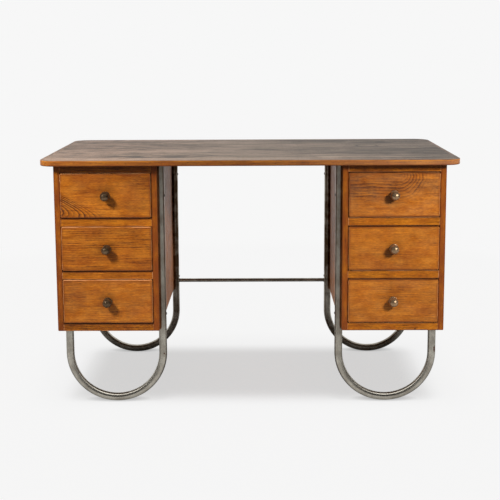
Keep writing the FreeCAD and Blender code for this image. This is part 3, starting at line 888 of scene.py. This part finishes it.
def rear_bar(settings):
    """The round bar between the rear legs. At angle a it ends on the leg's skin, where
    x = leg - sqrt(tube^2 - (r cos a)^2). Over the weld's length its radius grows by the weld's height
    times (1 - d)^2 for a distance of d weld lengths from the end, with ripples round it."""
    tube, inner_x, centre, *_ = loop_sizes("right", "rear")
    low, high, middle = node_box("rear_bar")
    bar = (high[2] - low[2]) / 2 - settings.weld_height
    a = np.linspace(0, 2 * math.pi, settings.sides + 1)
    across = a[:-1]
    d = np.linspace(0, 1, 9)[:, None]
    ripple = 1 + 0.12 * np.sin(settings.weld_ripples * across + 0.7)
    flare = bar + settings.weld_height * 0.9 * (1 - d) ** 2 * ripple
    end_x = inner_x - np.sqrt(tube ** 2 - (flare[0] * np.cos(across)) ** 2) + 0.3 * MM
    weld_x = end_x - d * settings.weld_length
    shares = np.linspace(1, -1, 40)[1:-1, None]
    plain = np.full((len(shares), len(across)), bar)
    pole = np.zeros((1, len(across)))
    pole_x = pole + inner_x - tube + 0.8 * MM
    x = np.concatenate([pole_x, weld_x, weld_x[-1] * shares, -weld_x[::-1], -pole_x])
    r = np.concatenate([pole, flare, plain, flare[::-1], pole])
    points = np.stack([x, centre[1] + r * np.cos(across), middle[2] + r * np.sin(across)], 2)
    return mesh_object("welded_rear_bar", *grid(points, x[:, 0], a * bar))


# Knobs

def knob_profile(settings, head_radius):
    """Half of a knob's section, as (radius, distance from the drawer front): flange, hollow neck with
    a bead, the rounded underside of the head and its crown."""
    flange, depth = settings.flange_radius, settings.flange_depth
    neck, out = settings.neck_radius, settings.projection
    collar = out - settings.head_depth
    widest = collar + settings.head_depth * (1 - settings.crown_share)
    ease = depth * 0.4
    waist = depth + (collar - depth) * 0.45
    bead_radius = neck + settings.bead_height
    bead_span = (collar - waist) * 0.5
    bead_middle = collar - bead_span * 0.75
    turn = np.linspace(-math.pi / 2, math.pi / 2, 9)[:, None]
    bead = np.concatenate([
        neck + settings.bead_height * np.cos(turn), bead_middle + bead_span * 0.5 * np.sin(turn)], 1)
    return np.concatenate([
        [(0, 0), (flange, 0)],
        quarter_curve((flange, depth - ease), (flange, depth), (flange - ease, depth), 5),
        quarter_curve((bead_radius + 1.2 * MM, depth), (neck, depth), (neck, waist), 7),
        bead,
        quarter_curve((neck, collar), (head_radius, collar), (head_radius, widest), 14),
        quarter_curve((head_radius, widest), (head_radius, out), (0, out), 22)[1:],
    ])


def turned_knob(settings, screws, drawer):
    """A knob, and inside the drawer the slotted screw that holds it."""
    low, high, centre = node_box(f"{drawer}_knob")
    head_radius = (high[0] - low[0]) / 2
    outward = (0, -1, 0)
    face = (centre[0], low[1] + settings.projection, centre[2])
    seat_y = node_box(f"{drawer}_front")[1][1]
    seat = (centre[0], seat_y, centre[2])
    knob = turned(knob_profile(settings, head_radius), settings.segments, face, outward)
    parts = [knob] + screw(screws, seat, (0, 1, 0), seat_y - face[1], 0.1 * MM)
    return mesh_object(f"turned_{drawer}_knob", *joined(parts))


# Finishes of the boards: how each was sawn, for the likeness of its figure

FRONTS = {
    "left_upper": Board(
        heart=(0.0, -0.0777), lean=0.175, rise=(0.0, 0.0), depth=0.0442, taper=0.248, ring=4.2, bold=6.8,
        faint=0.1, figure=2.2, waver=0.2, streaks=0.8, cloudy=0.03, darker=(0.9, 2.6), dirt=(0.6, 0.0),
        seed=1.3),
    "left_middle": Board(
        heart=(0.3, 0.16), rise=(0.1, 0.1), ring=5.5, figure=0.8, streaks=0.8, waver=0.6, cloudy=0.02,
        darker=(0.3, 0.0), dirt=(0.6, 0.0), seed=2.9),
    "left_lower": Board(
        heart=(-0.5, 0.12), rise=(0.12, 0.12), depth=0.02, ring=7.0, figure=0.3, streaks=0.75, cloudy=0.04,
        darker=(-0.2, 0.8), dirt=(0.6, 0.0), seed=4.1),
    "right_upper": Board(
        heart=(0.016, 0.0545), rise=(0.83, 0.08), depth=0.01, ring=8.2, bold=8, faint=0.2, figure=0.72,
        waver=1.3, streaks=0.95, tone=0.06, cloudy=0.08, darker=(-1.2, 1.6), dirt=(0.5, 0.7),
        knot=(0.112, 0.009), seed=5.3),
    "right_middle": Board(
        heart=(-0.12, -0.09), rise=(0.2, 0.2), depth=0.01, bold=9, faint=0.3, ring=6.0, figure=0.5,
        streaks=0.6, tone=0.03, honey=0.1, cloudy=0.04, dirt=(0.5, 1.0), seed=6.7),
    "right_lower": Board(
        heart=(0.05, -0.11), rise=(0.16, 0.16), ring=6.5, figure=0.35, streaks=0.65, honey=0.15, cloudy=0.05,
        dirt=(0.3, 0.9), seed=7.9),
}
# Marks seen in the photo, each with its place, size and strength: stains and a rub on the top, a burn on
# the left inner panel, a hole in the right bottom rail and rust on the front loops
TOP_STAINS = (
    ((0.465, 0.222), (0.02, 0.034), 0.9), ((0.49, 0.214), (0.012, 0.02), 0.5),
    ((-0.368, -0.24), (0.04, 0.03), 0.4), ((0.248, -0.257), (0.05, 0.028), -0.5),
)
PANEL_BURN = ((-0.287, 0.0103, 0.327), 0.016, 0.55)
RAIL_HOLE = ((0.518, -0.3165, 0.2405), 0.004, 0.95)
TUBE_SPOTS = (
    ((-0.2747, -0.303, 0.158), (0.0034, 0.0034, 0.0034), 1.0),
    ((0.583, -0.302, 0.17), (0.0045, 0.007, 0.014), 1.0),
)


class DESK_OT_top(bpy.types.Operator):
    """Finish the top's veneer and its bent lipping"""

    bl_idname = "desk.top"
    bl_label = "Top"

    def execute(self, context):
        finish(desk_top("Worn veneer of the top"), "top_panel")
        finish(bent_lipping("Oak lipping"), "top_lipping")
        return {"FINISHED"}


class DESK_OT_carcasses(bpy.types.Operator):
    """Finish the pedestals: panels, rails, floors, backs and the beech inside"""

    bl_idname = "desk.carcasses"
    bl_label = "Pedestals"

    def execute(self, context):
        inner_beech = beech("Beech inside the pedestals", Y)
        ply_back = plywood("Plywood of the backs", Y, 1.6 * MM)
        ply_floor = plywood("Plywood of the floors", Z, 1.6 * MM)
        spacing = node_box("left_middle_drawer_front")[0][2] - node_box("left_lower_drawer_front")[0][2]
        low, high, _ = node_box("left_middle_rails")
        rail_height = high[2] - low[2] - spacing
        for number, side in enumerate(SIDES):
            seed = 10.0 + number * 3.3
            # The inner panels get a darker tone and a strong pale clouding: the clouding is painted sheen,
            # standing for their gloss seen at a glancing angle, and the darker tone is partly painted shade
            # of the kneehole
            for panel, shift, tone, cloudy in (
                ("inner_side", 0.0, 0.17, 0.25), ("outer_side", 1.1, 0.05, 0.0),
            ):
                node = f"{side}_{panel}"
                sawn = Board(
                    grain=Z, face=X, heart=(0.7, 0.03 - 0.06 * number), rise=(0.05, 0.05), ring=6.0,
                    figure=0.4, streaks=0.8, tone=tone - 0.16 * number, cloudy=cloudy, grime=5.0,
                    seed=seed + shift,
                    mark=PANEL_BURN if node == "left_inner_side" else None)
                finish(oak(f"Oak of {node}", node, sawn, roughness=0.48), node)
            # The top rails' dark tone is painted shade, standing for the shadow that the top's overhang casts
            # on them
            for rail, shift, tone, fold in (
                ("top_rail", 2.3, 0.35, 0.0),
                ("middle_rails", 3.1, 0.04 * number - 0.02, spacing / 2),
                ("bottom_rail", 4.7, 0.34 - 0.3 * number, 0.0),
            ):
                node = f"{side}_{rail}"
                sawn = Board(
                    heart=(0.2, 0.09), rise=(0.12, 0.12), depth=0.02, figure=0.35, streaks=0.8, tone=tone,
                    honey=0.1, grime=4.0, dirt=((0.0, 2.1), (0.8, 0.4))[number], seed=seed + shift,
                    mark=RAIL_HOLE if node == "right_bottom_rail" else None)
                finish(oak(f"Oak of {node}", node, sawn, fold=fold, width=rail_height), node)
            finish(inner_beech, f"{side}_rear_stretcher", f"{side}_runners")
            finish(ply_floor, f"{side}_floor")
            finish(ply_back, f"{side}_back")
        finish(inner_beech, "drawer_stops", "leg_plugs")
        return {"FINISHED"}


class DESK_OT_drawers(bpy.types.Operator):
    """Finish the six drawers: oak fronts, dovetailed beech sides and plywood bottoms"""

    bl_idname = "desk.drawers"
    bl_label = "Drawers"

    def execute(self, context):
        side_beech = beech("Beech of the drawer sides", Y)
        back_beech = beech("Beech of the drawer backs", X)
        bottom_ply = plywood("Plywood of the drawer bottoms", Z, 1.25 * MM)
        for key, board in FRONTS.items():
            drawer = f"{key}_drawer"
            finish(oak(f"Oak of {drawer}", f"{drawer}_front", board, knob=True), f"{drawer}_front")
            finish(side_beech, f"{drawer}_sides")
            finish(back_beech, f"{drawer}_back")
            finish(bottom_ply, f"{drawer}_bottom")
        return {"FINISHED"}


class DESK_OT_tubes(bpy.types.Operator):
    """Bend the four tube loops, with their bores and the dents at their screws"""

    bl_idname = "desk.tubes"
    bl_label = "Tube loops"

    def execute(self, context):
        # The rear loops get a heavier tarnish than the front ones: partly painted shade, standing for the
        # desk's shade that they stand in
        for end, tarnished in zip(ENDS, (0.3, 0.85)):
            plate = nickel_plate(f"Nickel of the {end} loops", tarnished, TUBE_SPOTS)
            for side in SIDES:
                loop = tube_loop(context.scene.desk_tubes, side, end)
                add_piece(loop, plate, "root", "nickel_tube", f"{end}_{side}_loop")
        return {"FINISHED"}


class DESK_OT_rear_bar(bpy.types.Operator):
    """Make the bar between the rear loops, with its welds"""

    bl_idname = "desk.rear_bar"
    bl_label = "Rear bar"

    def execute(self, context):
        plate = nickel_plate("Nickel of the bar", 0.4)
        add_piece(rear_bar(context.scene.desk_tubes), plate, "root", "nickel_tube", "rear_bar")
        return {"FINISHED"}


class DESK_OT_knobs(bpy.types.Operator):
    """Turn the six knobs"""

    bl_idname = "desk.knobs"
    bl_label = "Knobs"

    def execute(self, context):
        scene = context.scene
        # The right knobs' brass is brighter and less tarnished than the left knobs': painted light, lit and
        # shaded copies of one brass, standing for the brighter light that falls on the right knobs
        for side, tarnished, bright in zip(SIDES, (0.9, 0.4), (0.9, 1.6)):
            brass = aged_brass(f"Aged brass of the {side} knobs", tarnished, bright)
            for level in LEVELS:
                drawer = f"{side}_{level}_drawer"
                knob = turned_knob(scene.desk_knobs, scene.desk_screws, drawer)
                add_piece(knob, brass, drawer, "knob_brass", f"{drawer}_knob")
        return {"FINISHED"}


class DESK_OT_screws(bpy.types.Operator):
    """Make the slotted screws through the legs, and finish the hidden ones"""

    bl_idname = "desk.screws"
    bl_label = "Screws"

    def execute(self, context):
        steel = screw_steel("Screw steel")
        dent = context.scene.desk_tubes.dent_depth
        parts = []
        for side, y, z in leg_screw_places():
            radius, inner_x, *_ = loop_sizes(side, "front")
            sign = side_sign(side)
            reach = node_box("leg_screws")[1][0] - (inner_x - radius)
            seat = (sign * (inner_x - radius + dent * 0.7), y, z)
            parts += screw(context.scene.desk_screws, seat, (-sign, 0, 0), reach - dent, dent)
        screws = mesh_object("slotted_leg_screws", *joined(parts))
        add_piece(screws, steel, "root", "screw_steel", "leg_screws")
        finish(steel, "floor_screws", "top_screws")
        return {"FINISHED"}


# Stage

def add_lamp(name, kind, power, place, target, **settings):
    """A lamp that looks at a target and shows neither in the picture nor in gloss."""
    data = bpy.data.lights.new(name, kind)
    data.energy = power
    for key, value in settings.items():
        setattr(data, key, value)
    lamp = new_object(name, data)
    lamp.location = place
    lamp.rotation_euler = (Vector(target) - Vector(place)).to_track_quat("-Z", "Y").to_euler()
    lamp.visible_camera = lamp.visible_glossy = False
    return lamp


def pieces_named(*starts):
    """The made pieces whose names start with one of the words."""
    return [piece for piece in bpy.data.objects if piece.name.startswith(starts)]


def lit_group(name, pieces, state="INCLUDE"):
    """A collection for light linking: a lamp lights only these pieces, or with EXCLUDE all but them."""
    group = bpy.data.collections.new(name)
    for piece in pieces:
        group.objects.link(piece)
    for member in group.collection_objects:
        member.light_linking.link_state = state
    return group


def mirror_card(name, points, radiance, lit=None):
    """A card of the studio that only shows in gloss: a grid of points (rows, columns, 3). The lit group
    says which pieces it shines on."""
    rows, columns = points.shape[:2]
    card = mesh_object(name, *grid(points, np.arange(rows), np.arange(columns + 1), wrap_columns=False))
    tree = Tree(name)
    card.data.materials.append(tree.show(tree.light("Emission", WHITE, radiance)))
    card.visible_camera = card.visible_diffuse = card.visible_shadow = False
    card.visible_transmission = card.visible_volume_scatter = False
    card.light_linking.receiver_collection = lit


def curved_wall(radius, first, last, bottom, top):
    """A wall round the desk: points at (radius sin a, -radius cos a, z), with a from first to last."""
    a = np.radians(np.linspace(first, last, 25))[:, None]
    z = np.linspace(bottom, top, 2)[None, :]
    return np.stack(np.broadcast_arrays(radius * np.sin(a), -radius * np.cos(a), z), 2)


def flat_card(x_low, x_high, y_low, y_high, z):
    """A level card."""
    x, y = np.meshgrid([x_low, x_high], [y_low, y_high], indexing="ij")
    return np.stack([x, y, np.full_like(x, z)], 2)


def add_camera(settings):
    """The camera, from its tilt, roll and yaw: forward is (sin w cos t, cos w cos t, -sin t)."""
    tilt, roll, yaw = settings.camera_tilt, settings.camera_roll, settings.camera_yaw
    forward = Vector((math.sin(yaw) * math.cos(tilt), math.cos(yaw) * math.cos(tilt), -math.sin(tilt)))
    level = Vector((math.cos(yaw), -math.sin(yaw), 0))
    up = level.cross(forward)
    right = math.cos(roll) * level + math.sin(roll) * up
    up = -math.sin(roll) * level + math.cos(roll) * up
    data = bpy.data.cameras.new("Camera")
    data.sensor_width = 36
    data.lens = data.sensor_width * settings.focal_share
    data.shift_y = settings.shift_share
    camera = new_object("Camera", data)
    camera.matrix_world = Matrix((right, up, -forward)).transposed().to_4x4()
    camera.location = settings.camera_place
    bpy.context.scene.camera = camera


def add_world(settings):
    """An even pale backdrop, where it is seen or mirrored, and a dimmer dome of light."""
    world = bpy.data.worlds.new("Studio")
    bpy.context.scene.world = world
    tree = Tree("Studio", world)
    seen = tree.ray("Camera").above(tree.ray("Glossy")).above(tree.ray("Transmission"))
    backdrop = tree.light("Background", opaque(settings.backdrop), 1.0)
    tree.show(tree.mix(seen, tree.light("Background", WHITE, settings.dome), backdrop))


# Half sizes of the floor's full shadow and of the painted contact shadow under a loop, which lies a little
# behind it
SHADE_SIZE = (0.5, 0.21)
FOOT_SHADE_SIZE = (0.11, 0.034, 0.0)
FOOT_SHADE_BACK = 0.016


def floor_material(settings):
    """A pale floor that takes the desk's shadow and turns into the backdrop further out. Outside the desk's
    own footprint the shadow is thinned, by the distance from a rounded rectangle. Under each loop, where it
    touches, the floor gets a painted contact shadow, and in gloss the floor is dimmer near the desk."""
    tree = Tree("Pale floor")
    backdrop = opaque(settings.backdrop)
    spot = tree.place()
    x, y, _ = spot.parts()
    half_x, half_y = SHADE_SIZE
    beyond = tree.merge((abs(x) - half_x).above(0.0), (abs(y) - half_y).above(0.0), 0.0)
    thin_share = beyond.distance().span(0.0, 0.14, 0.0, 0.8)
    far_share = spot.distance().span(settings.fade_start, settings.fade_end)
    beside_desk = abs(x).span(0.9, 1.3, 0.85, 0.0) * y.span(-0.36, -0.24)
    mirrored_glow = thin_share.span(0.0, 0.5, 0.08, 0.5) * (1.0 - beside_desk)

    def lifted(glow):
        """The floor's own shade with a glow on top."""
        shade = tree.light("BsdfDiffuse", (0.5, 0.5, 0.5, 1.0))
        return tree.value("AddShader", {0: shade, 1: tree.light("Emission", backdrop, glow)})

    far = tree.light("Emission", backdrop, 1.0)
    shown = tree.mix(far_share.above(thin_share), lifted(0.64), far)
    # Painted contact shadow: a darker patch on the floor under each loop
    for end in ENDS:
        bend_x, bend_y, _ = loop_sizes("right", end)[2].tolist()
        away = tree.merge(abs(x), y, 0.0).steps_from((bend_x, bend_y + FOOT_SHADE_BACK, 0.0), FOOT_SHADE_SIZE)
        shown = tree.mix(away.ramp(0.44, 1.0, 0.1, 1.0), None, shown)
    mirrored = tree.mix(far_share, lifted(mirrored_glow), far)
    bounce = tree.light("BsdfDiffuse", (0.35, 0.35, 0.35, 1.0))
    seen = tree.ray("Camera").above(tree.ray("Transmission"))
    return tree.show(tree.mix(seen, tree.mix(tree.ray("Glossy"), bounce, mirrored), shown))


def add_floor(settings):
    """A round floor: rings of points at (r cos a, r sin a), just under the loops."""
    r = np.array([0.0, 0.5, 1.0, 2.0, 4.0, settings.floor_radius])
    a = np.linspace(0, 2 * math.pi, 65)
    ring = np.stack([np.cos(a[:-1]), np.sin(a[:-1]), np.zeros(64)], 1)
    points = r[:, None, None] * ring + np.array([0, 0, -0.1 * MM])
    floor = mesh_object("floor", *grid(points, r, a))
    floor.data.materials.append(floor_material(settings))
    return floor


FRONTS_MIDDLE = (0.447, -0.32, 0.46)


class DESK_OT_stage(bpy.types.Operator):
    """Set up the floor, the lamps and the camera"""

    bl_idname = "desk.stage"
    bl_label = "Stage"

    def execute(self, context):
        settings = context.scene.desk_stage
        context.scene.view_settings.view_transform = "Standard"
        add_world(settings)
        floor = add_floor(settings)
        unlit = lit_group("Not lit by the lamps", [floor], "EXCLUDE")
        tubes = lit_group("Tubes", pieces_named("bent_tube", "welded_rear_bar"))
        front_loops = lit_group("Front loops", pieces_named("bent_tube_front"))
        left_knobs, right_knobs = (
            lit_group(f"{side} knobs", pieces_named(f"turned_{side}")) for side in SIDES)
        aim_x, *aim = FRONTS_MIDDLE
        lamps = (
            add_lamp("Left lamp", "SPOT", settings.left_key, (-1.55, -1.62, 2.0), (-aim_x, *aim),
                     spot_size=math.radians(34), spot_blend=1.0, shadow_soft_size=0.25),
            add_lamp("Right lamp", "SPOT", settings.right_key, (1.57, -1.94, 1.6), (aim_x, *aim),
                     spot_size=math.radians(38), spot_blend=1.0, shadow_soft_size=0.22),
            add_lamp("Back light", "AREA", settings.back_light, (0.0, 3.2, 1.3), (0.0, 0.0, 0.5),
                     shape="RECTANGLE", size=4.0, size_y=2.0),
        )
        for lamp in lamps:
            lamp.light_linking.receiver_collection = unlit
        add_lamp("Overhead", "SUN", settings.overhead, (0.0, -0.2, 3.0), (0.0, 0.0, 0.0),
                 angle=math.radians(18))
        for name, points, radiance, lit in (
            ("dark_wall", curved_wall(2.4, -100, 100, 0.0, 3.2), 0.1, None),
            ("soft_box", flat_card(-1.7, 1.7, -1.5, -0.4, 2.4), 2.0, tubes),
            ("left_glint", curved_wall(2.25, -54, -38, 1.2, 1.65), 14.0, left_knobs),
            ("right_glint", curved_wall(2.25, 26, 54, 0.8, 1.55), 11.0, right_knobs),
            ("left_panel", curved_wall(2.3, -80, -54, 1.5, 2.4), 3.0, front_loops),
            ("right_panel", curved_wall(2.3, 46, 78, 1.7, 2.4), 2.2, front_loops),
        ):
            mirror_card(name, points, radiance, lit)
        add_camera(settings)
        return {"FINISHED"}


OPERATORS = (
    DESK_OT_top, DESK_OT_carcasses, DESK_OT_drawers, DESK_OT_tubes, DESK_OT_rear_bar, DESK_OT_knobs,
    DESK_OT_screws, DESK_OT_stage,
)
SETTINGS = {
    "desk_tubes": DeskTubeSettings,
    "desk_knobs": DeskKnobSettings,
    "desk_screws": DeskScrewSettings,
    "desk_finish": DeskFinishSettings,
    "desk_stage": DeskStageSettings,
}


class DESK_PT_panel(bpy.types.Panel):
    """The desk's pieces and settings"""

    bl_label = "Desk"
    bl_space_type = "VIEW_3D"
    bl_region_type = "UI"
    bl_category = "Desk"

    def draw(self, context):
        for operator in OPERATORS:
            self.layout.operator(operator.bl_idname)
        for name, kind in SETTINGS.items():
            box = self.layout.box()
            for key in kind.__annotations__:
                box.prop(getattr(context.scene, name), key)


def register():
    """Registers the classes and gives each scene its settings."""
    for kind in (*SETTINGS.values(), *OPERATORS, DESK_PT_panel):
        bpy.utils.register_class(kind)
    for name, kind in SETTINGS.items():
        setattr(bpy.types.Scene, name, bpy.props.PointerProperty(type=kind))


def unregister():
    """Takes the settings and the classes away again."""
    for name in SETTINGS:
        delattr(bpy.types.Scene, name)
    for kind in reversed((*SETTINGS.values(), *OPERATORS, DESK_PT_panel)):
        bpy.utils.unregister_class(kind)


def main():
    """Makes the desk and its stage."""
    register()
    bpy.ops.desk.top()
    bpy.ops.desk.carcasses()
    bpy.ops.desk.drawers()
    bpy.ops.desk.tubes()
    bpy.ops.desk.rear_bar()
    bpy.ops.desk.knobs()
    bpy.ops.desk.screws()
    bpy.ops.desk.stage()


if __name__ == "__main__":
    main()
